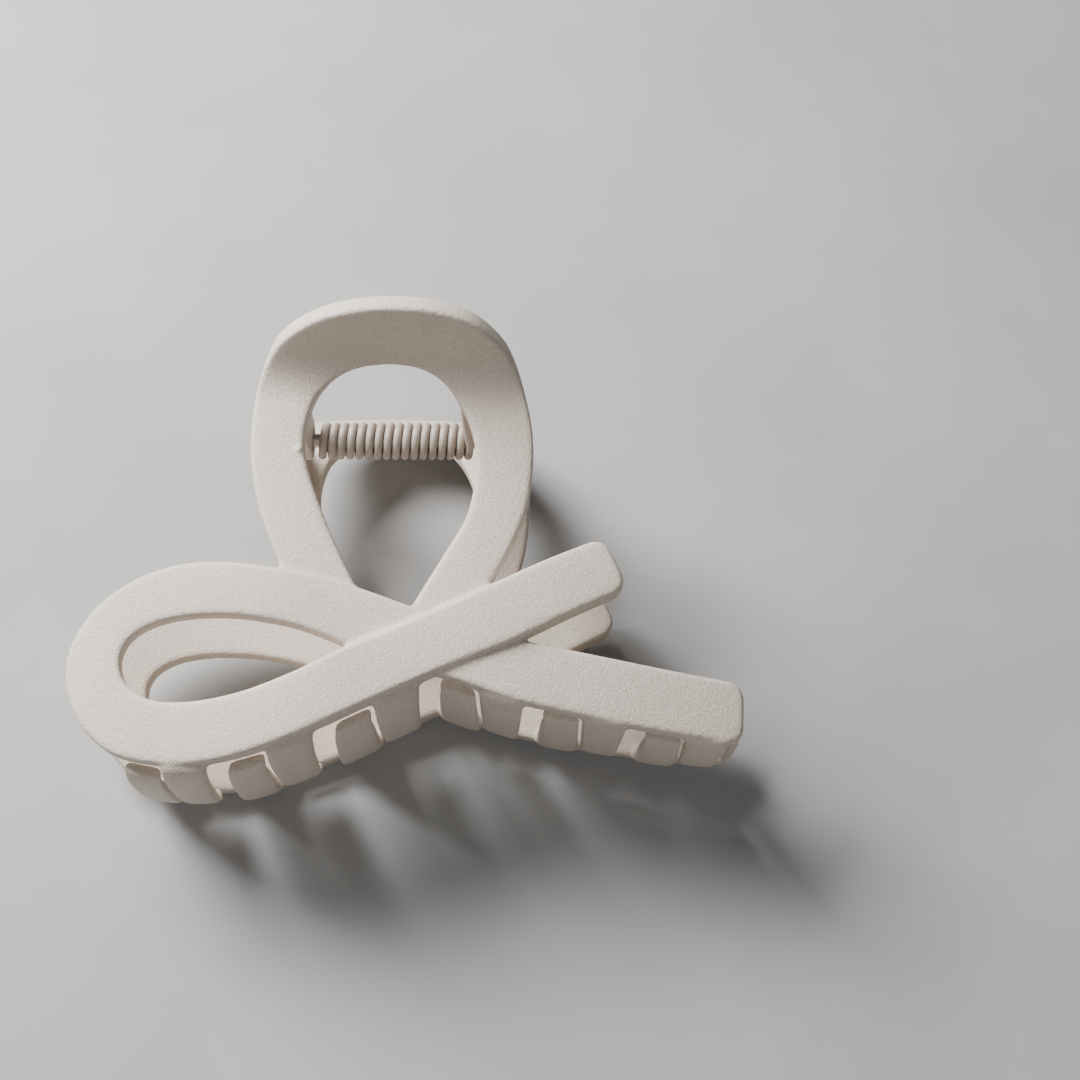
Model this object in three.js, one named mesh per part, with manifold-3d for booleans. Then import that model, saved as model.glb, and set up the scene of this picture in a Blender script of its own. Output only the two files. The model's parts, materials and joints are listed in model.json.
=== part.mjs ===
// Ribbon claw clip: two mirrored jaws on one hinge pin, held shut by a torsion spring.
// Millimetres, +Z up. The clip lies on its back jaw, as it is put down on a table.
//
// Each jaw is drawn as a flat sheet and then bent. On the sheet x runs along the hinge, v runs
// from the teeth up to the finger ring with the hinge at v = 0, and w is the height above the
// band's outer face. Bending gives (x, along, depth), where depth is the distance from the
// middle plane between the two jaws.
import * as THREE from 'three';
import { mergeVertices } from 'three/addons/utils/BufferGeometryUtils.js';
import Module from 'manifold-3d';

const wasm = await Module();
wasm.setup();

const degrees = Math.PI / 180;

// Driving dimensions
const jawDepth = 14.85;          // middle plane to the outer face of the flat bands
const bandThickness = 3.0;
const edgeChamfer = 0.6;
const neckLength = 14.8;         // gently curved stretch below the hinge
const neckLean = 5.6 * degrees;  // how far a band leans outwards at the hinge
const handleBend = 8.3;          // stretch above the hinge that bends into the handle
const handleLean = 64.8 * degrees;
const bowStart = 9.3;            // the jaws are flat this far from their middle
const bowRate = 0.0031;          // and close in towards both ends beyond it
const tailCorner = 2.2;          // radius of the two free ribbon ends
const tailTaper = [0.1, 0.35, 0.7, 1.1];  // sections of a round end, in corner radii from the end
const crossingLift = 1.4;        // the diagonal ribbon lies this far over the others
const crossingRise = [-32, -6];  // and climbs to that height between these places along x
const overpassLift = 0.5;        // the loop's upper ribbon over the ring's foot
const overpassRise = [-34, -14];
const overpassFall = [8, 30];
const ringHeight = 16.3;         // top of the ring on the sheet
const diagonalTouch = -41;       // where along the diagonal's lower edge rests on the table
const layerStep = 0.04;          // keeps the inner faces of crossing ribbons from coinciding

const toothPitch = 14.35;
const toothWidth = 5.6;
const toothThickness = 2.2;
const toothTaper = 0.3;          // half width gained at the root and lost at the tip
const toothSquareness = 2.6;     // of the curve that a tooth follows, where 2 is an ellipse
const toothRoot = 2.4;           // how far a tooth reaches up inside its band
const toothInset = 0.5;          // outer face of a tooth behind the band's outer face
const toothGap = 0.7;            // tip to the opposite jaw
const tipThickness = 1.3;
const tipCurl = 0.7;             // a tooth's curve would close this far past its tip
const tipNarrowing = 0.7;        // half width lost by the round corners of a tip
const toothDip = { loops: 2.7, tails: 1.2 };  // how far a tooth sinks below its band
const dipChange = [-4, 26];      // between these places along x
const toothSteps = 11;
const frontTeeth = { first: -26.6, count: 6 };
const backTeeth = { first: -32.6, count: 6 };
const endTooth = { x: 49.4, width: 1.5, rise: 1.5 };

const pinRadius = 1.05;
const pinLength = 35;
const lugHole = 1.4;
const hubRadius = 3.1;
const lugThickness = 2.2;
const frontLug = 12.25;          // inner side of a front lug from the clip's middle
const backLug = 14.8;
const lugFoot = { along: -4.6, depth: 13.5 };  // where a lug's two edges run into the ring
const lugHead = { along: 3.6, depth: 14.6 };
const wireRadius = 0.62;
const coilRadius = 2.2;
const coilPitch = 1.36;
const coilStrands = 17;          // in view from the front, the front leg included
const coilSteps = 9;             // sections in each turn
const legLean = 40 * degrees;    // outwards, where a leg leaves the coil
const legGuide = [[10.5, 2.04, 4.58], [10.0, 4.2, 9.2]];  // x, along, depth of its Bezier curve
const legTip = [9.8, 5.33, 13.23];

// Ribbon edges on the sheet: [x, v] of one edge and [x, v] of the other, pair by pair.
const ringPairs = [
  [-11.2, -30.5, -0.5, -32.5], [-14.9, -22.9, -4.6, -25.2], [-18.4, -14.2, -9.2, -15.4],
  [-19.7, -5.4, -12.1, -6.0], [-18.3, 3.3, -11.0, 0.2], [-14.7, 9.4, -8.9, 2.7],
  [-10.0, 13.5, -6.2, 4.5], [-4.8, 15.7, -3.2, 5.4], [0.4, 16.3, 0.2, 5.7], [6.0, 15.8, 3.6, 5.3],
  [11.4, 13.0, 6.8, 3.8], [16.0, 7.2, 9.4, 1.0], [18.9, 0.9, 11.3, -2.6], [20.4, -6.0, 12.2, -7.2],
  [19.5, -14.8, 11.3, -15.2], [17.2, -20.8, 7.9, -21.8], [14.6, -25.5, 4.6, -27.6],
  [11.0, -31.5, 1.8, -33.0],
];
const loopPairs = [
  [50.5, -38.1, 50.3, -46.7], [43.0, -37.2, 42.6, -46.1], [36.0, -36.2, 35.6, -45.2],
  [27.2, -34.8, 27.3, -43.8], [18.9, -33.4, 18.8, -42.1], [6.4, -30.0, 8.3, -38.8],
  [-2.0, -27.1, -5.3, -34.6], [-7.6, -25.3, -11.4, -32.4], [-14.6, -24.0, -17.0, -31.2],
  [-21.7, -23.1, -22.6, -30.7], [-29.0, -23.4, -28.6, -31.1], [-35.8, -25.9, -32.9, -32.4],
  [-41.1, -30.3, -35.4, -34.4], [-43.9, -36.4, -36.3, -37.0], [-43.3, -41.9, -35.5, -39.8],
];
const diagonalPairs = [
  [-43.9, -36.4, -36.3, -37.0], [-43.3, -41.9, -35.5, -39.8], [-40.8, -46.5, -33.4, -41.7],
  [-36.4, -50.0, -31.2, -42.6], [-30.5, -51.4, -28.4, -42.9], [-24.5, -51.4, -24.2, -42.6],
  [-18.0, -50.0, -18.8, -41.4], [-10.3, -47.0, -12.4, -38.9], [-2.0, -43.0, -5.3, -35.3],
  [8.2, -38.2, 4.8, -30.8], [18.4, -33.7, 15.2, -25.7], [25.6, -29.9, 22.2, -22.2],
  [34.0, -25.7, 30.4, -18.5],
];

const bendProfile = (start, length, radius) => {
  const lean = start.lean + length / radius;
  return {
    lean,
    along: start.along + radius * (Math.sin(lean) - Math.sin(start.lean)),
    depth: start.depth + radius * (Math.cos(start.lean) - Math.cos(lean)),
  };
};

const neckRadius = neckLength / neckLean;
const handleRadius = handleBend / (handleLean - neckLean);
const hingeProfile = {
  lean: neckLean,
  along: 0,
  depth: jawDepth + neckRadius * (1 - Math.cos(neckLean)),
};

function profileAt(v) {
  const reach = v < 0 ? Math.max(v, -neckLength) : Math.min(v, handleBend);
  const radius = v < 0 ? neckRadius : handleRadius;
  const bent = bendProfile(hingeProfile, reach, radius);
  const straight = v - reach;
  return {
    lean: bent.lean,
    along: bent.along + straight * Math.cos(bent.lean),
    depth: bent.depth + straight * Math.sin(bent.lean),
  };
}

const bowAt = (x) => bowRate * Math.max(0, Math.abs(x) - bowStart) ** 2;

function bend(x, v, w) {
  const { lean, along, depth } = profileAt(v);
  return new THREE.Vector3(
    x,
    along - w * Math.sin(lean),
    depth - bowAt(x) + w * Math.cos(lean),
  );
}

const ease = (value, from, to) => THREE.MathUtils.smoothstep(value, from, to);

// A closed body through rings of points that all have the same count; a point closes each end.
function loft(rings) {
  const count = rings[0].length;
  const points = rings.flat();
  const index = [];
  for (let r = 0; r + 1 < rings.length; r++) {
    for (let i = 0; i < count; i++) {
      const a = r * count + i;
      const b = r * count + (i + 1) % count;
      index.push(a, b, b + count, a, b + count, a + count);
    }
  }
  for (const [ring, flip] of [[0, true], [rings.length - 1, false]]) {
    const middle = new THREE.Vector3();
    rings[ring].forEach((point) => middle.addScaledVector(point, 1 / count));
    const tip = points.push(middle) - 1;
    for (let i = 0; i < count; i++) {
      const a = ring * count + i;
      const b = ring * count + (i + 1) % count;
      index.push(...(flip ? [b, a, tip] : [a, b, tip]));
    }
  }
  const geometry = new THREE.BufferGeometry().setFromPoints(points);
  geometry.setIndex(index);
  return facingOut(geometry);
}

function facingOut(geometry) {
  const { position } = geometry.attributes;
  const index = geometry.index.array;
  const corner = (i) => new THREE.Vector3().fromBufferAttribute(position, index[i]);
  let volume = 0;
  for (let i = 0; i < index.length; i += 3) {
    volume += corner(i).dot(corner(i + 1).cross(corner(i + 2)));
  }
  if (volume < 0) {
    index.reverse();
  }
  return geometry;
}

function solidOf(geometry) {
  const bare = geometry.clone();
  bare.deleteAttribute('normal');
  bare.deleteAttribute('uv');
  const merged = mergeVertices(bare, 1e-5);
  return new wasm.Manifold(new wasm.Mesh({
    numProp: 3,
    vertProperties: Float32Array.from(merged.attributes.position.array),
    triVerts: Uint32Array.from(merged.index.array),
  }));
}

function geometryOf(solid) {
  const { vertProperties, triVerts } = solid.getMesh();
  const geometry = new THREE.BufferGeometry();
  geometry.setAttribute('position', new THREE.BufferAttribute(vertProperties, 3));
  geometry.setIndex(new THREE.BufferAttribute(triVerts, 1));
  return geometry;
}

const edgeCurve = (pairs, side) => new THREE.CatmullRomCurve3(
  pairs.map((pair) => new THREE.Vector3(pair[2 * side], pair[2 * side + 1], 0)),
);

// A ribbon between two edges. It lies liftAt(x) above the sheet, and a round end starts narrow.
function ribbon({ pairs, steps, liftAt, inner, roundStart = false, roundEnd = false }) {
  const edges = [edgeCurve(pairs, 0), edgeCurve(pairs, 1)];
  const across = [0, 1 / 3, 2 / 3, 1];
  const middleAt = (t) => edges[0].getPoint(t).lerp(edges[1].getPoint(t), 0.5);
  const speed = (t0, t1) => middleAt(t0).distanceTo(middleAt(t1)) / (t1 - t0);
  const stations = [];
  for (let i = 0; i <= steps; i++) {
    stations.push(i / steps);
  }
  if (roundStart) {
    stations.push(...tailTaper.map((part) => part * tailCorner / speed(0, 0.01)));
  }
  if (roundEnd) {
    stations.push(...tailTaper.map((part) => 1 - part * tailCorner / speed(0.99, 1)));
  }
  stations.sort((a, b) => a - b);
  const rings = stations.map((t) => {
    const a = edges[0].getPoint(t);
    const b = edges[1].getPoint(t);
    const toB = b.clone().sub(a).normalize();
    const fromEnd = Math.min(
      roundStart ? middleAt(t).distanceTo(middleAt(0)) : Infinity,
      roundEnd ? middleAt(t).distanceTo(middleAt(1)) : Infinity,
    );
    const short = Math.max(0, tailCorner - fromEnd);
    const inset = tailCorner - Math.sqrt(Math.max(0, tailCorner ** 2 - short ** 2));
    a.addScaledVector(toB, inset);
    b.addScaledVector(toB, -inset);
    const place = (point, shift, w) => {
      const at = point.clone().addScaledVector(toB, shift);
      return bend(at.x, at.y, w + (w > inner ? liftAt(at.x) : 0));
    };
    const faceA = a.clone().addScaledVector(toB, edgeChamfer);
    const faceB = b.clone().addScaledVector(toB, -edgeChamfer);
    return [
      ...across.map((part) => place(faceA.clone().lerp(faceB, part), 0, 0)),
      place(b, 0, -edgeChamfer),
      place(b, 0, inner),
      place(a.clone().lerp(b, 0.5), 0, inner),
      place(a, 0, inner),
      place(a, 0, -edgeChamfer),
    ];
  });
  return loft(rings);
}

const diagonalLift = (x) => crossingLift * ease(x, ...crossingRise);
const loopLift = (x) => overpassLift * ease(x, ...overpassRise) * (1 - ease(x, ...overpassFall));

function bands() {
  return [
    ribbon({ pairs: ringPairs, steps: 40, liftAt: () => 0, inner: -bandThickness }),
    ribbon({
      pairs: loopPairs, steps: 38, liftAt: loopLift, inner: -bandThickness + layerStep,
      roundStart: true,
    }),
    ribbon({
      pairs: diagonalPairs, steps: 32, liftAt: diagonalLift, inner: -bandThickness + 2 * layerStep,
      roundEnd: true,
    }),
  ];
}

// The lowest band edge at a place along the hinge: the teeth hang from it.
const lowerEdges = [edgeCurve(loopPairs, 1), edgeCurve(diagonalPairs, 0)];
const lowerSamples = lowerEdges.map((curve) => curve.getPoints(150));

function lowerEdgeAt(x) {
  let lowest = 0;
  for (const samples of lowerSamples) {
    for (let i = 0; i + 1 < samples.length; i++) {
      const [p, q] = [samples[i], samples[i + 1]];
      if ((p.x - x) * (q.x - x) <= 0 && p.x !== q.x) {
        lowest = Math.min(lowest, p.y + (q.y - p.y) * (x - p.x) / (q.x - p.x));
      }
    }
  }
  return lowest;
}

const dipAt = (x) => THREE.MathUtils.lerp(toothDip.loops, toothDip.tails, ease(x, ...dipChange));

// A tooth leaves the band's lower edge and curls in under the clip to the opposite jaw. It is
// lofted between an outer curve and an inner curve, both given as depth and fall below the band.
function tooth(x, width, rise = 0) {
  const outerDepth = jawDepth - bowAt(x) - toothInset;
  const innerDepth = outerDepth - toothThickness;
  const tipDepth = jawDepth - bowAt(x) - bandThickness - toothGap;
  const closingDepth = tipDepth + tipCurl;
  const dip = dipAt(x);
  const innerDip = dip - toothThickness;
  const power = 2 / toothSquareness;
  const tipAngle = Math.acos(-((tipDepth / closingDepth) ** (1 / power)));
  const path = [{ outer: [outerDepth, -toothRoot], inner: [innerDepth, -toothRoot - 1] }];
  for (let i = 0; i <= toothSteps; i++) {
    const angle = tipAngle * i / toothSteps;
    const swing = Math.sign(Math.cos(angle)) * Math.abs(Math.cos(angle)) ** power;
    const sink = Math.sin(angle) ** power;
    const outer = [(swing > 0 ? outerDepth : closingDepth) * swing, dip * sink];
    const thin = ease(angle, Math.PI / 2, tipAngle) * (toothThickness - tipThickness);
    const inner = swing > 0
      ? [innerDepth * swing, THREE.MathUtils.lerp(-toothRoot, innerDip, sink)]
      : [outer[0], outer[1] - toothThickness + thin];
    path.push({ outer, inner });
  }
  const last = path.length - 1;
  const rings = path.map(({ outer, inner }, i) => {
    const taper = width < toothWidth ? 0 : toothTaper * (1 - 2 * i / last);
    const halfWidth = width / 2 + taper - (i === last ? tipNarrowing : 0);
    const place = (dx, [depth, fall]) => {
      const at = x + dx * halfWidth;
      return new THREE.Vector3(at, lowerEdgeAt(at) + rise - fall, depth);
    };
    return [
      ...[-1, 0, 1].map((dx) => place(dx, outer)),
      ...[1, 0, -1].map((dx) => place(dx, inner)),
    ];
  });
  return loft(rings);
}

const teethOf = ({ first, count }) => (
  Array.from({ length: count }, (_, i) => tooth(first + i * toothPitch, toothWidth))
);

// A hinge ear: a plate from behind the ring to an eye round the pin.
function lug(from) {
  const eyeTurn = 17 * degrees;
  const outline = new THREE.Shape();
  outline.moveTo(lugFoot.along, lugFoot.depth);
  outline.absarc(0, 0, hubRadius, Math.PI - eyeTurn, 2 * Math.PI + eyeTurn, false);
  outline.lineTo(lugHead.along, lugHead.depth);
  outline.closePath();
  const eye = new THREE.Path();
  eye.absarc(0, 0, lugHole, 0, 2 * Math.PI, true);
  outline.holes.push(eye);
  const plate = new THREE.ExtrudeGeometry(outline, {
    depth: lugThickness, bevelEnabled: false, curveSegments: 10,
  });
  const turn = new THREE.Matrix4().makeBasis(
    new THREE.Vector3(0, 1, 0),
    new THREE.Vector3(0, 0, 1),
    new THREE.Vector3(1, 0, 0),
  );
  return plate.applyMatrix4(turn).translate(from, 0, 0);
}

function jawGeometry(teeth, lugPlace) {
  const lugs = [lug(lugPlace), lug(-lugPlace - lugThickness)];
  const pieces = [...bands(), ...teeth, ...lugs].map(solidOf);
  return geometryOf(pieces.reduce((whole, piece) => whole.add(piece)));
}

function mirrored(geometry) {
  return facingOut(geometry.scale(1, 1, -1));
}

class Coil extends THREE.Curve {
  constructor() {
    super();
    this.halfTurn = Math.PI * (coilStrands - 1) + Math.PI / 2 - legLean;
  }

  getPoint(t) {
    const turn = this.halfTurn * (2 * t - 1);
    return new THREE.Vector3(
      coilPitch * turn / (2 * Math.PI),
      -coilRadius * Math.cos(turn),
      coilRadius * Math.sin(turn),
    );
  }
}

// The coil sits on the pin. Its right leg presses up under the front ring, and its left leg, the
// same leg turned half round, presses under the back ring.
function springGeometry() {
  const coil = new Coil();
  const turns = coil.getPoints(Math.round(coilSteps * coil.halfTurn / Math.PI));
  const guides = [...legGuide, legTip].map((place) => new THREE.Vector3(...place));
  const leg = new THREE.CubicBezierCurve3(turns.at(-1), ...guides);
  const frontLeg = leg.getPoints(7).slice(1);
  const backLeg = frontLeg.map((point) => new THREE.Vector3(-point.x, point.y, -point.z)).reverse();
  const route = [...backLeg, ...turns, ...frontLeg];
  const sides = 6;
  const axis = new THREE.Vector3(1, 0, 0);
  const rings = route.map((here, i) => {
    const before = route[Math.max(0, i - 1)];
    const after = route[Math.min(route.length - 1, i + 1)];
    const ahead = after.clone().sub(before).normalize();
    const outward = ahead.clone().cross(axis).normalize();
    const sideways = ahead.clone().cross(outward);
    return Array.from({ length: sides }, (_, k) => {
      const angle = 2 * Math.PI * k / sides;
      return here.clone()
        .addScaledVector(outward, wireRadius * Math.cos(angle))
        .addScaledVector(sideways, wireRadius * Math.sin(angle));
    });
  });
  return loft(rings);
}

function pinGeometry() {
  const tip = 0.35;
  const half = pinLength / 2;
  const outline = [
    [0, -half], [pinRadius - tip, -half], [pinRadius, -half + tip],
    [pinRadius, half - tip], [pinRadius - tip, half], [0, half],
  ];
  const rod = new THREE.LatheGeometry(outline.map(([r, y]) => new THREE.Vector2(r, y)), 20);
  return rod.rotateZ(-Math.PI / 2);
}

const paint = new THREE.MeshStandardMaterial({ color: '#cdc6bf', roughness: 0.62, metalness: 0 });
const wirePaint = new THREE.MeshStandardMaterial({ color: '#a9a39d', roughness: 0.5, metalness: 0.2 });
const steel = new THREE.MeshStandardMaterial({ color: '#b8b9bb', roughness: 0.3, metalness: 1 });

const clip = new THREE.Group();
const addPiece = (name, geometry, material) => {
  const mesh = new THREE.Mesh(geometry, material);
  mesh.name = name;
  clip.add(mesh);
};

const backTips = [...teethOf(backTeeth), tooth(endTooth.x, endTooth.width, endTooth.rise)];
addPiece('front_jaw', jawGeometry(teethOf(frontTeeth), frontLug), paint);
addPiece('back_jaw', mirrored(jawGeometry(backTips, backLug)), paint);
addPiece('torsion_spring', springGeometry(), wirePaint);
addPiece('hinge_pin', pinGeometry(), steel);

// At rest the top of the back ring and the lower edge of the back diagonal touch the table.
const ringTop = profileAt(ringHeight);
const diagonalLow = { along: diagonalTouch, depth: jawDepth + crossingLift };
clip.rotation.x = Math.atan2(ringTop.depth - diagonalLow.depth, ringTop.along - diagonalLow.along);

const object = new THREE.Group();
object.add(clip);
object.updateMatrixWorld(true);
const box = new THREE.Box3().setFromObject(object, true);
const middle = box.getCenter(new THREE.Vector3());
clip.position.set(-middle.x, -middle.y, -box.min.z);

export default object;
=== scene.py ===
import json
import math

import bmesh
import bpy
import numpy as np
from mathutils import Matrix, Vector


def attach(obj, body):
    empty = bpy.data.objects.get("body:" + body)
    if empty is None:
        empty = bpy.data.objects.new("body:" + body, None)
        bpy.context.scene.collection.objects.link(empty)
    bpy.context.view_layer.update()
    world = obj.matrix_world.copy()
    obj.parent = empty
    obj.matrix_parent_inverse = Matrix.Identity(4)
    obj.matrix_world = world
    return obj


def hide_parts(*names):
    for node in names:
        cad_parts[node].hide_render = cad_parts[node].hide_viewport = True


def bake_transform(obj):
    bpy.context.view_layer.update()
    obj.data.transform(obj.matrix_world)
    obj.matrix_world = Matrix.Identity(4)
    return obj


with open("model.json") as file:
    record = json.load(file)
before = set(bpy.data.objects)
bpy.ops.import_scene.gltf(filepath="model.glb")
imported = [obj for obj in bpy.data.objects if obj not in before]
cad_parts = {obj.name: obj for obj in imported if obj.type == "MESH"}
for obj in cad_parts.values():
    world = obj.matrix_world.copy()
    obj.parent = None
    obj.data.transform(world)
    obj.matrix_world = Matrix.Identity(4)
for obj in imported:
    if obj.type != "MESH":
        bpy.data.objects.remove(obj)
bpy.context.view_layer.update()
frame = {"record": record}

mm = 0.001

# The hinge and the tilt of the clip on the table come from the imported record.
hinge = Vector(frame["record"]["behaviour"]["joints"][0]["pos_m"])
mounts = {mount["name"]: mount for mount in frame["record"]["mounts"]}
faceAxis = mounts["front_ribbon_face"]["axis"]
tilt = math.atan2(-faceAxis[1], faceAxis[2])


# a shader socket that takes part in sums
class Shade:
    def __init__(self, tree, socket):
        self.tree = tree
        self.socket = socket

    # any node: settings first, then values or links for its inputs
    def add(self, kind, settings=None, inputs=None, output=0):
        node = self.tree.nodes.new(kind)
        for name, value in (settings or {}).items():
            setattr(node, name, value)
        for name, value in (inputs or {}).items():
            if isinstance(value, Shade):
                self.tree.links.new(value.socket, node.inputs[name])
            else:
                node.inputs[name].default_value = value
        return Shade(self.tree, node.outputs[output])

    def math(self, operation, first, second=0.0):
        return self.add("ShaderNodeMath", {"operation": operation}, {0: first, 1: second})

    def __add__(self, other):
        return self.math("ADD", self, other)

    def __radd__(self, other):
        return self.math("ADD", other, self)

    def __sub__(self, other):
        return self.math("SUBTRACT", self, other)

    def __rsub__(self, other):
        return self.math("SUBTRACT", other, self)

    def __mul__(self, other):
        return self.math("MULTIPLY", self, other)

    def __rmul__(self, other):
        return self.math("MULTIPLY", other, self)

    def stretched(self, factors):
        return self.add("ShaderNodeVectorMath", {"operation": "MULTIPLY"}, {0: self, 1: factors})

    def noise(self, scale, detail, rough):
        values = {"Vector": self, "Scale": scale, "Detail": detail, "Roughness": rough}
        return self.add("ShaderNodeTexNoise", {}, values)

    # 0 up to low, full from high
    def ramp(self, low, high, full=1.0):
        values = {"Value": self, "From Min": low, "From Max": high, "To Max": full}
        return self.add("ShaderNodeMapRange", {}, values)

    # the first colour where this is 0, the second where it is 1
    def mixed(self, *colours):
        here, there = (end if isinstance(end, Shade) else (*end, 1) for end in colours)
        return self.add("ShaderNodeMix", {"data_type": "RGBA"}, {0: self, 6: here, 7: there}, 2)

    def bump(self, depth, strength):
        values = {"Height": self, "Distance": depth, "Strength": strength}
        return self.add("ShaderNodeBump", {}, values)


def finishOf(name, fixed, paint):
    material = bpy.data.materials.new(name)
    material.use_nodes = True
    tree = material.node_tree
    shader = tree.nodes["Principled BSDF"]
    for socket, value in fixed.items():
        shader.inputs[socket].default_value = value
    start = Shade(tree, None)
    places = start.add("ShaderNodeTexCoord", output="Object")
    for socket, shade in paint(start, places).items():
        tree.links.new(shade.socket, shader.inputs[socket])
    return material


# Noises are scale, detail and roughness. Tones are where a noise starts to show, where it shows
# in full, and how strongly.
softPaint = dict(
    light=(0.655, 0.568, 0.482),
    shade=(0.490, 0.417, 0.348),
    # painted shade: a darker colour for the grooves and crevices, where shade falls
    grooveShadeColour=(0.300, 0.246, 0.205),
    # painted highlight: a lighter colour along the rounded outward edges
    edgeHighlightColour=(0.740, 0.662, 0.580),
    grain=(3600.0, 2.0, 0.65),
    specks=(2100.0, 3.0, 0.7),
    cloud=(55.0, 3.0, 0.55),
    grainTone=(0.42, 0.60, 0.60),
    cloudTone=(0.3, 0.7, 0.25),
    speckTone=(0.54, 0.64, 0.55),
    # painted shade: the curvature range taken as a groove, then how strongly it is darkened
    grooves=(0.42, 0.50),
    grooveShadeShare=0.55,
    # painted highlight: the curvature range taken as an outward edge, then how strongly it is
    # lightened
    edgeHighlightTone=(0.52, 0.60, 0.35),
    relief=(0.6, 0.8),        # shares of grain and specks
    bump=(0.15 * mm, 0.8),    # depth and strength
    rough=0.56,
    roughGrain=0.16,
    roughCloud=0.1,
)


def paintJaw(start, places):
    look = softPaint
    grain, specks, cloud = (places.noise(*look[name]) for name in ("grain", "specks", "cloud"))
    tone = grain.ramp(*look["grainTone"]) + cloud.ramp(*look["cloudTone"])
    colour = tone.mixed(look["light"], look["shade"])
    colour = specks.ramp(*look["speckTone"]).mixed(colour, look["shade"])
    point = start.add("ShaderNodeNewGeometry", output="Pointiness")
    # painted shade, darker in the grooves and crevices
    creviceShadeMask = (1 - point.ramp(*look["grooves"])) * look["grooveShadeShare"]
    colour = creviceShadeMask.mixed(colour, look["grooveShadeColour"])
    # painted highlight, lighter along the outward edges
    colour = point.ramp(*look["edgeHighlightTone"]).mixed(colour, look["edgeHighlightColour"])
    grainShare, speckShare = look["relief"]
    relief = grain * grainShare + specks * speckShare
    rough = look["rough"] + (grain - 0.5) * look["roughGrain"] + (cloud - 0.5) * look["roughCloud"]
    return {"Base Color": colour, "Roughness": rough, "Normal": relief.bump(*look["bump"])}


# The spring really wears the jaws' paint. Its light and shade colours here are kept darker than that
# paint, as painted shade for the shadowed gaps between the coils. The bare steel is real wear.
shadedWirePaint = dict(
    light=(0.430, 0.368, 0.312),
    shade=(0.270, 0.226, 0.188),
    bare=(0.56, 0.54, 0.50),
    grain=(2400.0, 2.0, 0.6),
    cloud=(180.0, 3.0, 0.6),
    grainTone=(0.3, 0.7, 0.3),
    cloudTone=(0.3, 0.7, 0.4),
    rubbedCloud=(0.66, 0.72),    # where the paint is rubbed through to the steel
    rubbedGrain=(0.45, 0.6),
    cloudRelief=0.5,
    bump=(0.03 * mm, 0.5),
    rough=0.46,
    roughGrain=0.2,
    rubbedGloss=0.1,
    rubbedMetal=0.8,
)


def paintWire(start, places):
    look = shadedWirePaint
    grain, cloud = (places.noise(*look[name]) for name in ("grain", "cloud"))
    tone = grain.ramp(*look["grainTone"]) + cloud.ramp(*look["cloudTone"])
    rubbed = cloud.ramp(*look["rubbedCloud"]) * grain.ramp(*look["rubbedGrain"])
    # painted shade in the darker paint colours; the rubbed-through bare steel is real wear
    colour = rubbed.mixed(tone.mixed(look["light"], look["shade"]), look["bare"])
    relief = grain + cloud * look["cloudRelief"]
    rough = look["rough"] + (grain - 0.5) * look["roughGrain"] - rubbed * look["rubbedGloss"]
    return {
        "Base Color": colour,
        "Roughness": rough,
        "Metallic": rubbed * look["rubbedMetal"],
        "Normal": relief.bump(*look["bump"]),
    }


pinSteel = dict(
    light=(0.62, 0.60, 0.55),
    dull=(0.38, 0.33, 0.25),
    lineScale=(300.0, 6000.0, 6000.0),
    lines=(1.0, 2.0, 0.6),
    stain=(320.0, 3.0, 0.6),
    stainTone=(0.45, 0.7, 0.7),
    lineTone=0.2,
    bump=(0.01 * mm, 0.5),
    rough=0.26,
    roughStain=0.25,
    roughLines=0.08,
)


def paintPin(start, places):
    look = pinSteel
    lines = places.stretched(look["lineScale"]).noise(*look["lines"])
    stain = places.noise(*look["stain"])
    dullness = stain.ramp(*look["stainTone"]) + lines * look["lineTone"]
    return {
        "Base Color": dullness.mixed(look["light"], look["dull"]),
        "Roughness": look["rough"] + stain * look["roughStain"] + lines * look["roughLines"],
        "Normal": lines.bump(*look["bump"]),
    }


# Each jaw is drawn on a flat sheet, then bent: x runs along the hinge, v from the teeth up to the
# ring with the hinge at 0, and w is the height over the ribbon's outer face. Millimetres.
sheet = dict(
    jawDepth=14.85,
    thickness=3.0,
    neckLength=14.8,
    neckLean=math.radians(5.6),
    handleBend=8.3,
    handleLean=math.radians(64.8),
    bowStart=9.3,      # flat this far from the middle, then closing in
    bowRate=0.0031,
)

band = dict(
    faceRound=0.50,
    backRound=0.5,
    backDrop=0.7,                  # share of the face's rounding at a free end
    crown=0.10,
    roundSteps=6,
    faceSteps=9,
    tailCorner=2.2,
    tailTaper=(0.02, 0.06, 0.13, 0.22, 0.33, 0.46, 0.6, 0.76, 0.92),
    crossingLift=1.4,              # the diagonal over the other ribbons
    crossingRise=(-32, -6),
    overpassLift=0.5,              # the loop's upper ribbon over the ring's foot
    overpassRise=(-34, -14),
    overpassFall=(8, 30),
    stationsPerPair=9,
)

# Ribbon edges on the flat sheet: x and v of one edge, then x and v of the other.
ringPairs = [
    (-11.2, -30.5, -0.5, -32.5), (-14.9, -22.9, -4.6, -25.2), (-18.4, -14.2, -9.2, -15.4),
    (-19.7, -5.4, -12.1, -6.0), (-18.7, 3.4, -11.0, 0.2), (-15.2, 9.7, -8.9, 2.7),
    (-10.3, 13.7, -6.2, 4.5), (-4.8, 15.7, -3.2, 5.4), (0.4, 16.3, 0.2, 5.7),
    (6.0, 15.8, 3.6, 5.3), (11.8, 13.4, 6.8, 3.8), (16.7, 7.4, 9.4, 1.0),
    (19.4, 0.9, 11.3, -2.6), (20.4, -6.0, 12.2, -7.2), (19.5, -14.8, 11.3, -15.2),
    (17.2, -20.8, 7.9, -21.8), (14.6, -25.5, 4.6, -27.6), (11.0, -31.5, 1.8, -33.0),
]
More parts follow.
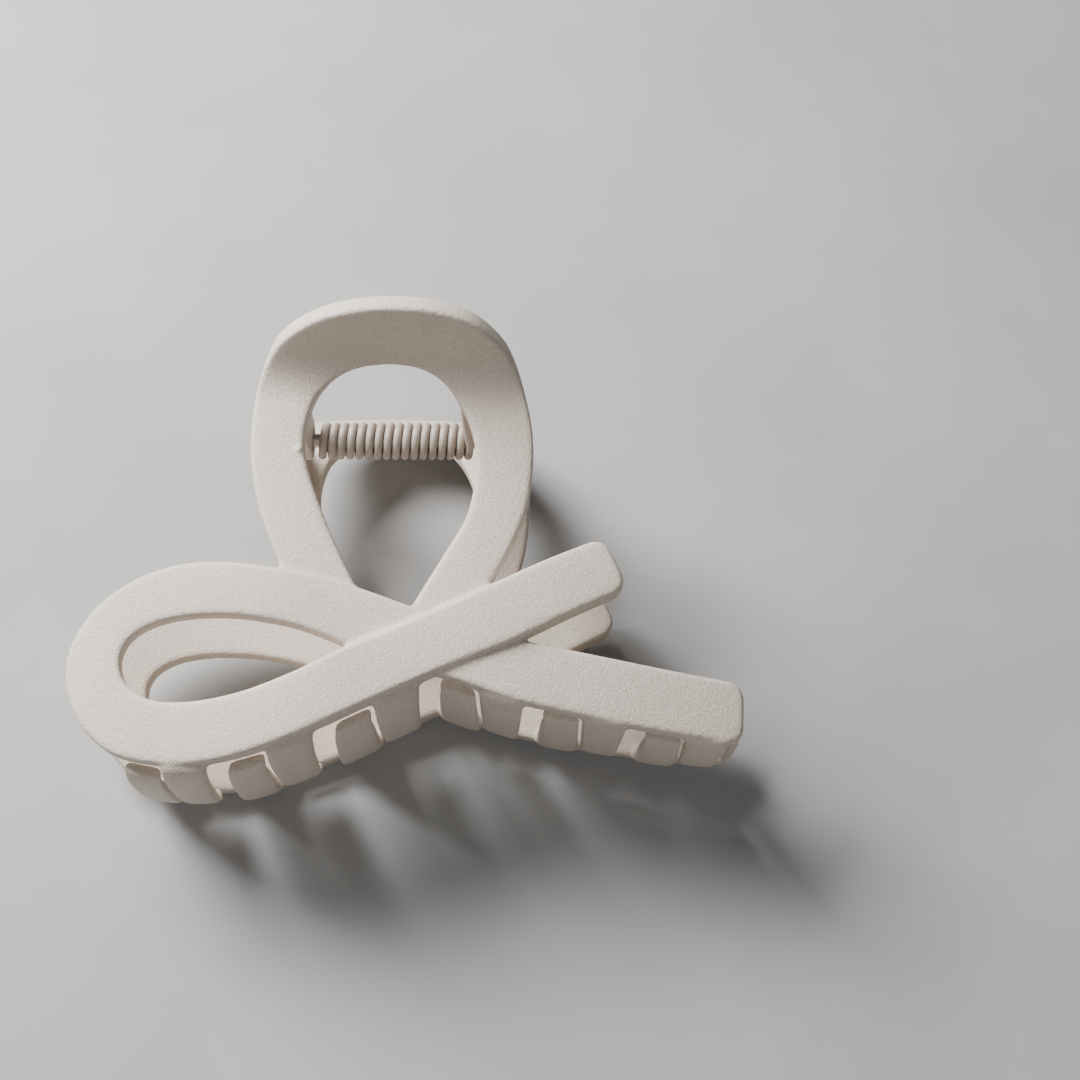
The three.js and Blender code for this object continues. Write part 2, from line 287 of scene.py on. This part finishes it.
# One ribbon: from the lower tail round the loop, then up over the crossing to the upper tail.
bowPairs = [
    (50.5, -38.1, 50.3, -46.7), (43.0, -37.2, 42.6, -46.1), (36.0, -36.2, 35.6, -45.2),
    (27.2, -34.8, 27.3, -43.8), (18.9, -33.4, 18.8, -42.1), (6.4, -30.0, 8.3, -38.8),
    (-2.0, -27.1, -5.3, -34.6), (-7.6, -25.3, -11.4, -32.4), (-14.6, -24.0, -17.0, -31.2),
    (-21.7, -23.1, -22.6, -30.7), (-29.0, -23.4, -28.6, -31.1), (-35.8, -25.9, -32.9, -32.4),
    (-41.1, -30.3, -35.4, -34.4), (-43.9, -36.4, -36.3, -37.0), (-43.3, -41.9, -35.5, -39.8),
    (-40.8, -46.5, -33.4, -41.7), (-36.4, -50.0, -31.2, -42.6), (-30.5, -51.4, -28.4, -42.9),
    (-24.5, -51.4, -24.2, -42.6), (-18.0, -50.0, -18.8, -41.4), (-10.3, -47.0, -12.4, -38.9),
    (-2.0, -43.0, -5.3, -35.3), (8.2, -38.2, 4.8, -30.8), (18.4, -33.7, 15.2, -25.7),
    (25.6, -29.9, 22.2, -22.2), (34.0, -25.7, 30.4, -18.5),
]
loopTurn = 13  # the pair at the far left, where the ribbon starts back


def ease(value, low, high):
    part = np.clip((value - low) / (high - low), 0, 1)
    return part * part * (3 - 2 * part)


def curvePoint(points, part):
    # a centripetal Catmull-Rom curve through the points
    last = len(points) - 1
    index = min(int(part * last), last - 1)
    share = part * last - index
    p1, p2 = points[index], points[index + 1]
    p0 = points[index - 1] if index > 0 else 2 * p1 - p2
    p3 = points[index + 2] if index + 2 <= last else 2 * p2 - p1
    d0, d1, d2 = (math.sqrt(np.linalg.norm(b - a)) for a, b in ((p0, p1), (p1, p2), (p2, p3)))
    t1 = ((p1 - p0) / d0 - (p2 - p0) / (d0 + d1) + (p2 - p1) / d1) * d1
    t2 = ((p2 - p1) / d1 - (p3 - p1) / (d1 + d2) + (p3 - p2) / d2) * d1
    c2 = -3 * p1 + 3 * p2 - 2 * t1 - t2
    c3 = 2 * p1 - 2 * p2 + t1 + t2
    return p1 + t1 * share + c2 * share ** 2 + c3 * share ** 3


def edgesOf(pairs):
    flat = np.array(pairs, float)
    return flat[:, :2], flat[:, 2:]


def bend(x, v, w):
    neckLean, handleLean = sheet["neckLean"], sheet["handleLean"]
    neckRadius = sheet["neckLength"] / neckLean
    handleRadius = sheet["handleBend"] / (handleLean - neckLean)
    hingeDepth = sheet["jawDepth"] + neckRadius * (1 - math.cos(neckLean))
    below = v < 0
    reach = np.where(below, np.maximum(v, -sheet["neckLength"]), np.minimum(v, sheet["handleBend"]))
    radius = np.where(below, neckRadius, handleRadius)
    lean = neckLean + reach / radius
    straight = v - reach
    along = radius * (np.sin(lean) - math.sin(neckLean)) + straight * np.cos(lean)
    depth = hingeDepth + radius * (math.cos(neckLean) - np.cos(lean)) + straight * np.sin(lean)
    depth = depth - bowAt(x) + w * np.cos(lean)
    return np.stack([x, along - w * np.sin(lean), depth], axis=-1)


def bowAt(x):
    return sheet["bowRate"] * np.maximum(0, np.abs(x) - sheet["bowStart"]) ** 2


def diagonalLift(x):
    return band["crossingLift"] * ease(x, *band["crossingRise"])


def overpassLift(x):
    climb = ease(x, *band["overpassRise"]) * (1 - ease(x, *band["overpassFall"]))
    return band["overpassLift"] * climb


def shortBy(radius, distance):
    # how far a round edge of this radius falls short, this near to its end
    return radius - np.sqrt(np.maximum(0, radius ** 2 - np.maximum(0, radius - distance) ** 2))


def bandSection(width, drop):
    # across the ribbon: distance from its first edge, and height over the outer face
    faceRound, backRound = band["faceRound"], band["backRound"]
    top, bottom = -drop, -sheet["thickness"] + band["backDrop"] * drop
    turn = np.linspace(0, math.pi / 2, band["roundSteps"])
    face = np.linspace(faceRound, width - faceRound, band["faceSteps"])[1:-1]
    crown = band["crown"] * (1 - (2 * face / width - 1) ** 2)
    rows = [
        (faceRound - faceRound * np.cos(turn), top - faceRound + faceRound * np.sin(turn)),
        (face, top + crown),
        (width - faceRound + faceRound * np.sin(turn), top - faceRound + faceRound * np.cos(turn)),
        (width - backRound + backRound * np.cos(turn), bottom + backRound - backRound * np.sin(turn)),
        (np.array([width / 2]), np.array([bottom])),
        (backRound - backRound * np.sin(turn), bottom + backRound - backRound * np.cos(turn)),
    ]
    across = np.concatenate([row[0] for row in rows])
    height = np.concatenate([row[1] for row in rows])
    return across, height


def ribbonRings(pairs, liftOf, roundEnds):
    first, second = edgesOf(pairs)
    count = (len(pairs) - 1) * band["stationsPerPair"]
    stations = list(np.linspace(0, 1, count + 1))

    def middle(t):
        return (curvePoint(first, t) + curvePoint(second, t)) / 2

    if roundEnds:
        corner = band["tailCorner"] * np.array(band["tailTaper"])
        bit = 0.004
        startSpeed = np.linalg.norm(middle(bit) - middle(0)) / bit
        endSpeed = np.linalg.norm(middle(1) - middle(1 - bit)) / bit
        stations += list(corner / startSpeed) + list(1 - corner / endSpeed)
    rings = []
    for t in sorted(stations):
        a, b = curvePoint(first, t), curvePoint(second, t)
        toB = (b - a) / np.linalg.norm(b - a)
        fromEnd = math.inf
        if roundEnds:
            fromEnd = min(np.linalg.norm(middle(t) - middle(end)) for end in (0, 1))
        inset = shortBy(band["tailCorner"], fromEnd)
        drop = shortBy(band["faceRound"], fromEnd)
        across, height = bandSection(np.linalg.norm(b - a) - 2 * inset, drop)
        spots = a + np.outer(across + inset, toB)
        lift = liftOf(spots[:, 0], t) * (height > -sheet["thickness"] / 2)
        rings.append(bend(spots[:, 0], spots[:, 1], height + lift))
    return rings


def noLift(x, t):
    return 0 * x


def bowLift(x, t):
    return overpassLift(x) if t < loopTurn / (len(bowPairs) - 1) else diagonalLift(x)


sampleCount = 900
bowSamples = [
    np.array([curvePoint(edge, t) for t in np.linspace(0, 1, sampleCount)])
    for edge in edgesOf(bowPairs)
]


# the teeth hang from the lowest ribbon edge at their place
def lowerEdgeAt(x):
    lowest = 0.0
    for samples in bowSamples:
        x0, x1 = samples[:-1, 0] - x, samples[1:, 0] - x
        crossing = np.nonzero((x0 * x1 <= 0) & (x0 != x1))[0]
        for i in crossing:
            share = x0[i] / (x0[i] - x1[i])
            lowest = min(lowest, samples[i, 1] + share * (samples[i + 1, 1] - samples[i, 1]))
    return lowest


teeth = dict(
    pitch=14.35,
    width=5.6,
    taper=0.3,        # half width gained at the root and lost at the tip
    thickness=2.2,
    tipWall=1.1,      # thickness of the upturned tip
    tipSlant=0.8,     # how far the inner curve stays above the outer one at the tip
    tipTops=(-0.35, -1.1),  # fall of a tip's end below the band, at the loops and at the tails
    tipStep=0.15,     # its outer edge is this much lower than its inner one
    tipParts=(0.5, 0.75, 0.88, 0.96),   # extra stations before the end
    tipCurl=0.7,      # the curve would close this far past the tip
    squareness=2.6,   # of the curve a tooth follows, where 2 is an ellipse
    root=2.4,
    inset=0.5,
    gap=0.7,
    dips=(2.7, 1.2),  # how far a tooth sinks below its band, at the loops and at the tails
    dipChange=(-4, 26),
    frontFirst=-26.6,
    backFirst=-32.6,
    count=6,
    endPlace=49.4,
    endWidth=1.5,
    endRise=1.5,
    corner=1.0,       # plan rounding of a tip
    tipRound=0.3,
    tipSharpness=0.1, # share of its thickness left at the very end
    flare=0.4,        # extra half width where a tooth leaves its band
    flareReach=1.2,
    boxiness=3.6,     # of a tooth's own section
    draft=0.08,       # and how much wider it is outside than inside
    steps=30,
    sides=28,
)


def toothPath(x):
    # outer and inner curve of a tooth, as depth and fall below the band
    size = teeth
    outerDepth = sheet["jawDepth"] - bowAt(x) - size["inset"]
    innerDepth = outerDepth - size["thickness"]
    tipDepth = sheet["jawDepth"] - bowAt(x) - sheet["thickness"] - size["gap"]
    closingDepth = tipDepth + size["tipCurl"]
    dip, top = (
        loops + (tails - loops) * ease(x, *size["dipChange"])
        for loops, tails in (size["dips"], size["tipTops"])
    )
    innerRise = dip - size["thickness"] + size["root"]
    power = 2 / size["squareness"]
    tipAngle = math.acos(-((tipDepth / closingDepth) ** (1 / power)))
    outer, inner = [(outerDepth, -size["root"])], [(innerDepth, -size["root"] - 1)]
    for angle in np.linspace(0, tipAngle, size["steps"]):
        swing = np.sign(np.cos(angle)) * abs(np.cos(angle)) ** power
        sink = np.sin(angle) ** power
        turned = ease(angle, math.pi / 2, tipAngle)
        rise = size["thickness"] + turned * (size["tipSlant"] - size["thickness"])
        if swing > 0:
            outer.append((outerDepth * swing, dip * sink))
            inner.append((innerDepth * swing, innerRise * sink - size["root"]))
        else:
            outer.append((closingDepth * swing, dip * sink))
            inner.append((closingDepth * swing + turned * size["tipWall"], dip * sink - rise))
    outer.append((outer[-1][0], top + size["tipStep"]))
    inner.append((inner[-1][0], top))
    return tightened(np.array(outer), np.array(inner))


def toothRings(x, width, rise=0.0):
    size = teeth
    outer, inner = toothPath(x)
    run = np.concatenate([[0], np.cumsum(np.linalg.norm(np.diff(outer, axis=0), axis=1))])
    turn = np.linspace(0, 2 * math.pi, size["sides"], endpoint=False)
    sideways = np.sign(np.cos(turn)) * np.abs(np.cos(turn)) ** (2 / size["boxiness"])
    outwards = np.sign(np.sin(turn)) * np.abs(np.sin(turn)) ** (2 / size["boxiness"])
    corner = min(size["corner"], width / 2 - 0.2)
    full = width == size["width"]
    rings = []
    for i in range(len(outer)):
        toTip = run[-1] - run[i]
        fromRoot = max(0.0, run[i] - size["root"])
        half = width / 2 - shortBy(corner, toTip)
        if full:
            half += size["taper"] * (1 - 2 * run[i] / run[-1])
            half += size["flare"] * max(0.0, 1 - fromRoot / size["flareReach"]) ** 2
        slim = 1 - shortBy(size["tipRound"], toTip) / size["tipRound"] * (1 - size["tipSharpness"])
        middle, reach = (outer[i] + inner[i]) / 2, (outer[i] - inner[i]) / 2
        ring = []
        for side, out in zip(sideways, outwards):
            depth, fall = middle + out * slim * reach
            at = x + side * half * (1 + size["draft"] * out)
            ring.append((at, lowerEdgeAt(at) + rise - fall, depth))
        rings.append(np.array(ring))
    return rings


def tightened(outer, inner):
    # extra stations near the tip, so that it rounds off smoothly
    for path in (outer, inner):
        yield np.concatenate([
            path[:-1],
            [path[-2] + (path[-1] - path[-2]) * part for part in teeth["tipParts"]],
            path[-1:],
        ])


lugs = dict(
    front=12.25,      # inner side of a front lug from the middle
    back=14.8,
    thickness=2.2,
    hub=3.1,
    hole=1.4,
    eyeTurn=math.radians(17),
    edgeRound=0.35,
    roundSteps=3,
    hubSteps=40,
    holeSteps=36,
    rise=((-4.6, 13.5), (3.6, 14.6)),   # along and depth of the two corners inside the ring
)


def lugMesh(inside):
    # an outline in depth and along, with the pin's eye, thickened by the curve's own bevel
    size = lugs
    edge = size["edgeRound"]
    curve = bpy.data.curves.new("lugOutline", "CURVE")
    curve.dimensions = "2D"
    curve.fill_mode = "BOTH"
    curve.extrude = size["thickness"] / 2 - edge
    curve.bevel_depth = edge
    curve.bevel_resolution = size["roundSteps"]
    curve.offset = -edge
    sweep = np.linspace(math.pi - size["eyeTurn"], 2 * math.pi + size["eyeTurn"], size["hubSteps"])
    outline = [size["rise"][0]]
    outline += [(size["hub"] * math.cos(a), size["hub"] * math.sin(a)) for a in sweep]
    outline += [size["rise"][1]]
    circle = np.linspace(0, 2 * math.pi, size["holeSteps"], endpoint=False)
    eye = [(size["hole"] * math.cos(a), size["hole"] * math.sin(a)) for a in circle]
    for points in (outline, eye):
        spline = curve.splines.new("POLY")
        spline.points.add(len(points) - 1)
        for spot, (along, depth) in zip(spline.points, points):
            spot.co = (along, depth, 0, 1)
        spline.use_cyclic_u = True
    holder = bpy.data.objects.new("lugOutline", curve)
    bpy.context.scene.collection.objects.link(holder)
    bpy.context.view_layer.update()
    mesh = bpy.data.meshes.new_from_object(holder)
    bpy.data.objects.remove(holder)
    middle = inside + math.copysign(size["thickness"] / 2, inside)
    turn = Matrix(((0, 0, 1, middle), (1, 0, 0, 0), (0, 1, 0, 0), (0, 0, 0, 1)))
    mesh.transform(turn)
    return mesh


def addLoft(form, rings):
    count = len(rings[0])
    rows = [[form.verts.new(point) for point in ring] for ring in rings]
    for near, far in zip(rows, rows[1:]):
        for i in range(count):
            j = (i + 1) % count
            form.faces.new((near[i], near[j], far[j], far[i]))
    for row, flip in ((rows[0], True), (rows[-1], False)):
        tip = form.verts.new(sum((v.co for v in row), Vector()) / count)
        for i in range(count):
            j = (i + 1) % count
            form.faces.new((row[j], row[i], tip) if flip else (row[i], row[j], tip))


def toClip(mesh, mirror):
    # sheet space (x, along, depth) in millimetres to the row frame in metres
    flip = Matrix.Scale(-1, 4, (0, 0, 1)) if mirror else Matrix.Identity(4)
    stand = Matrix.Translation(hinge) @ Matrix.Rotation(tilt, 4, "X") @ Matrix.Scale(mm, 4)
    mesh.transform(stand @ flip)


def linked(name, mesh):
    piece = bpy.data.objects.new(name, mesh)
    bpy.context.scene.collection.objects.link(piece)
    return piece


skin = dict(voxel=0.325, smoothing=5, factor=0.5, weld=1e-4)


def applied(piece):
    # the piece with its modifiers made real
    seen = bpy.context.evaluated_depsgraph_get()
    mesh = bpy.data.meshes.new_from_object(piece.evaluated_get(seen))
    piece.modifiers.clear()
    piece.data = mesh
    return piece


nub = dict(x=-12.8, v=-6.7, w=-0.05, radius=0.55)   # trimmed mould gate by the ring's inner edge


def addNub(form):
    spot = bend(np.array([nub["x"]]), np.array([nub["v"]]), nub["w"])[0]
    place = Matrix.Translation(spot)
    bmesh.ops.create_icosphere(form, subdivisions=2, radius=nub["radius"], matrix=place)


def jaw(name, teethRings, lugPlace, mirror):
    form = bmesh.new()
    addLoft(form, ribbonRings(ringPairs, noLift, False))
    addLoft(form, ribbonRings(bowPairs, bowLift, True))
    for rings in teethRings:
        addLoft(form, rings)
    for inside in (lugPlace, -lugPlace):
        form.from_mesh(lugMesh(inside))
    if not mirror:
        addNub(form)
    bmesh.ops.remove_doubles(form, verts=form.verts, dist=skin["weld"])
    bmesh.ops.recalc_face_normals(form, faces=form.faces)
    mesh = bpy.data.meshes.new(name)
    form.to_mesh(mesh)
    form.free()
    piece = linked(name, mesh)
    melt = piece.modifiers.new("melt", "REMESH")
    melt.mode = "VOXEL"
    melt.voxel_size = skin["voxel"]
    soften = piece.modifiers.new("soften", "SMOOTH")
    soften.factor = skin["factor"]
    soften.iterations = skin["smoothing"]
    applied(piece)
    toClip(piece.data, mirror)
    if mirror:
        piece.data.flip_normals()
    piece.data.shade_smooth()
    return piece


def teethFrom(first):
    return [toothRings(first + i * teeth["pitch"], teeth["width"]) for i in range(teeth["count"])]


jawPaint = finishOf("softTouchPaint", {"Specular IOR Level": 0.42, "IOR": 1.47}, paintJaw)

frontJaw = jaw("front_jaw_skin", teethFrom(teeth["frontFirst"]), lugs["front"], False)
frontJaw.data.materials.append(jawPaint)
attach(frontJaw, "front_half")
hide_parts("front_jaw")
print("front jaw:", len(frontJaw.data.polygons), "faces")

endTooth = toothRings(teeth["endPlace"], teeth["endWidth"], teeth["endRise"])
backTeeth = teethFrom(teeth["backFirst"]) + [endTooth]
backJaw = jaw("back_jaw_skin", backTeeth, lugs["back"], True)
backJaw.data.materials.append(jawPaint)
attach(backJaw, "back_half")
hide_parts("back_jaw")
print("back jaw:", len(backJaw.data.polygons), "faces")


spring = dict(
    wire=0.62,
    coil=2.2,
    pitch=1.36,
    strands=17,      # in view from the front, the front leg included
    legLean=math.radians(40),
    legGuide=((10.5, 2.04, 4.58), (10.0, 4.2, 9.2)),
    legTip=(9.8, 5.33, 13.23),
    stepsPerTurn=40,
    sides=14,
    legSteps=24,
    slope=math.radians(1.0),   # the pin lies this much askew in the play of its holes
)
springHalfTurn = math.pi * (spring["strands"] - 1) + math.pi / 2 - spring["legLean"]
askew = Matrix.Rotation(spring["slope"], 4, "Z")


def coilPoint(turn):
    size = spring
    along, depth = -size["coil"] * math.cos(turn), size["coil"] * math.sin(turn)
    return Vector((size["pitch"] * turn / (2 * math.pi), along, depth))


def springRoute():
    size = spring
    count = round(size["stepsPerTurn"] * springHalfTurn / math.pi)
    coil = [coilPoint(turn) for turn in np.linspace(-springHalfTurn, springHalfTurn, count)]
    knots = [coil[-1]] + [Vector(place) for place in (*size["legGuide"], size["legTip"])]
    leg = []
    for step in range(1, size["legSteps"] + 1):
        part = step / size["legSteps"]
        shares = (1 - part) ** 3, 3 * part * (1 - part) ** 2, 3 * part ** 2 * (1 - part), part ** 3
        leg.append(sum((share * knot for share, knot in zip(shares, knots)), Vector()))
    farLeg = [Vector((-spot.x, spot.y, -spot.z)) for spot in reversed(leg)]
    return farLeg + coil + leg


def springMesh():
    size = spring
    route = springRoute()
    rings = []
    last = len(route) - 1
    outward = Vector((0, 1, 0))
    for i, here in enumerate(route):
        ahead = (route[min(last, i + 1)] - route[max(0, i - 1)]).normalized()
        outward = (outward - outward.dot(ahead) * ahead).normalized()
        sideways = ahead.cross(outward)
        turn = np.linspace(0, 2 * math.pi, size["sides"], endpoint=False)
        rings.append([
            here + size["wire"] * (math.cos(a) * outward + math.sin(a) * sideways) for a in turn
        ])
    form = bmesh.new()
    addLoft(form, rings)
    bmesh.ops.recalc_face_normals(form, faces=form.faces)
    mesh = bpy.data.meshes.new("torsion_spring_wire")
    form.to_mesh(mesh)
    form.free()
    mesh.transform(askew)
    toClip(mesh, False)
    mesh.shade_smooth()
    return mesh


# the darker wire paint is painted shade among the coils
shadedSpringPaint = finishOf("shadedWirePaint", {"Specular IOR Level": 0.5}, paintWire)
wire = linked("torsion_spring_wire", springMesh())
wire.data.materials.append(shadedSpringPaint)
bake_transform(wire)
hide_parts("torsion_spring")
print("spring:", len(wire.data.polygons), "faces")


pin = dict(radius=1.05, length=35.0, dome=0.45, domeSteps=7, sides=48)


def pinMesh():
    half = pin["length"] / 2
    turn = np.linspace(0, math.pi / 2, pin["domeSteps"])
    radii = pin["radius"] - pin["dome"] + pin["dome"] * np.sin(turn)
    places = half - pin["dome"] + pin["dome"] * np.cos(turn)
    outline = [(-x, r) for x, r in zip(places, radii)] + list(zip(places[::-1], radii[::-1]))
    around = np.linspace(0, 2 * math.pi, pin["sides"], endpoint=False)
    rings = [[Vector((x, r * math.cos(a), r * math.sin(a))) for a in around] for x, r in outline]
    form = bmesh.new()
    addLoft(form, rings)
    bmesh.ops.recalc_face_normals(form, faces=form.faces)
    mesh = bpy.data.meshes.new("hinge_pin_rod")
    form.to_mesh(mesh)
    form.free()
    mesh.transform(askew)
    toClip(mesh, False)
    mesh.shade_smooth()
    return mesh


rodSteel = finishOf("pinSteel", {"Metallic": 1.0}, paintPin)
rod = linked("hinge_pin_rod", pinMesh())
rod.data.materials.append(rodSteel)
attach(rod, "back_half")
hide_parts("hinge_pin")
print("pin:", len(rod.data.polygons), "faces")


floorLook = dict(
    size=3.0,
    pale=(0.37, 0.365, 0.36),
    shade=(0.33, 0.325, 0.32),
    cloud=(18.0, 3.0, 0.6),
    cloudTone=(0.35, 0.65),
    rough=0.75,
    roughCloud=0.15,
)


def paintFloor(start, places):
    look = floorLook
    cloud = places.noise(*look["cloud"])
    return {
        "Base Color": cloud.ramp(*look["cloudTone"]).mixed(look["pale"], look["shade"]),
        "Roughness": look["rough"] + cloud * look["roughCloud"],
    }


floorMesh = bpy.data.meshes.new("floor")
halfFloor = floorLook["size"] / 2
corners = [(-halfFloor, -halfFloor, 0), (halfFloor, -halfFloor, 0),
           (halfFloor, halfFloor, 0), (-halfFloor, halfFloor, 0)]
floorMesh.from_pydata(corners, [], [(0, 1, 2, 3)])
floor = linked("floor", floorMesh)
floor.data.materials.append(finishOf("paleFloor", {"Specular IOR Level": 0.2}, paintFloor))

lamps = dict(
    key=dict(power=7.0, size=0.24, aim=(-0.72, 0.50, 0.80), distance=0.42),
    fill=dict(power=1.6, size=0.5, aim=(0.15, -0.8, 0.75), distance=0.8),
)
skyLook = dict(colour=(0.95, 0.97, 1.0), strength=0.07)
for name, lamp in lamps.items():
    data = bpy.data.lights.new(name, "AREA")
    data.energy = lamp["power"]
    data.size = lamp["size"]
    light = bpy.data.objects.new(name, data)
    bpy.context.scene.collection.objects.link(light)
    towards = Vector(lamp["aim"]).normalized()
    light.location = hinge + towards * lamp["distance"]
    light.rotation_euler = towards.to_track_quat("Z", "Y").to_euler()

world = bpy.data.worlds.new("studio")
world.use_nodes = True
sky = world.node_tree.nodes["Background"]
sky.inputs["Color"].default_value = (*skyLook["colour"], 1)
sky.inputs["Strength"].default_value = skyLook["strength"]
bpy.context.scene.world = world

view = dict(
    lens=64.9,
    distance=291.5,
    rise=math.radians(15.97),   # the camera looks this far above square to the bands
    turn=math.radians(1.1075),
    roll=math.radians(-0.8),
    besideHinge=21.56,          # the view's middle, right of the hinge
    belowHinge=14.82,
    nearest=0.01,
)


def viewCamera():
    rise, turn, roll = view["rise"], view["turn"], view["roll"]
    # x to the right, y into the clip, z up to the ring
    ahead = Vector((math.sin(turn), math.cos(rise) * math.cos(turn), math.sin(rise))).normalized()
    right = ahead.cross(Vector((0, 0, 1))).normalized()
    down = ahead.cross(right)
    across = math.cos(roll) * right + math.sin(roll) * down
    fall = -math.sin(roll) * right + math.cos(roll) * down
    spot = -view["distance"] * ahead + view["besideHinge"] * across + view["belowHinge"] * fall
    stand = Matrix.Rotation(tilt, 3, "X")

    def toRow(vector):
        return stand @ Vector((vector.x, vector.z, -vector.y))

    axes = Matrix((toRow(across), -toRow(fall), -toRow(ahead))).transposed()
    camera = bpy.data.objects.new("camera", bpy.data.cameras.new("camera"))
    bpy.context.scene.collection.objects.link(camera)
    camera.data.lens = view["lens"]
    camera.data.clip_start = view["nearest"]
    camera.matrix_world = Matrix.Translation(hinge + toRow(spot) * mm) @ axes.to_4x4()
    bpy.context.scene.camera = camera


viewCamera()
print("floor, light and camera set")
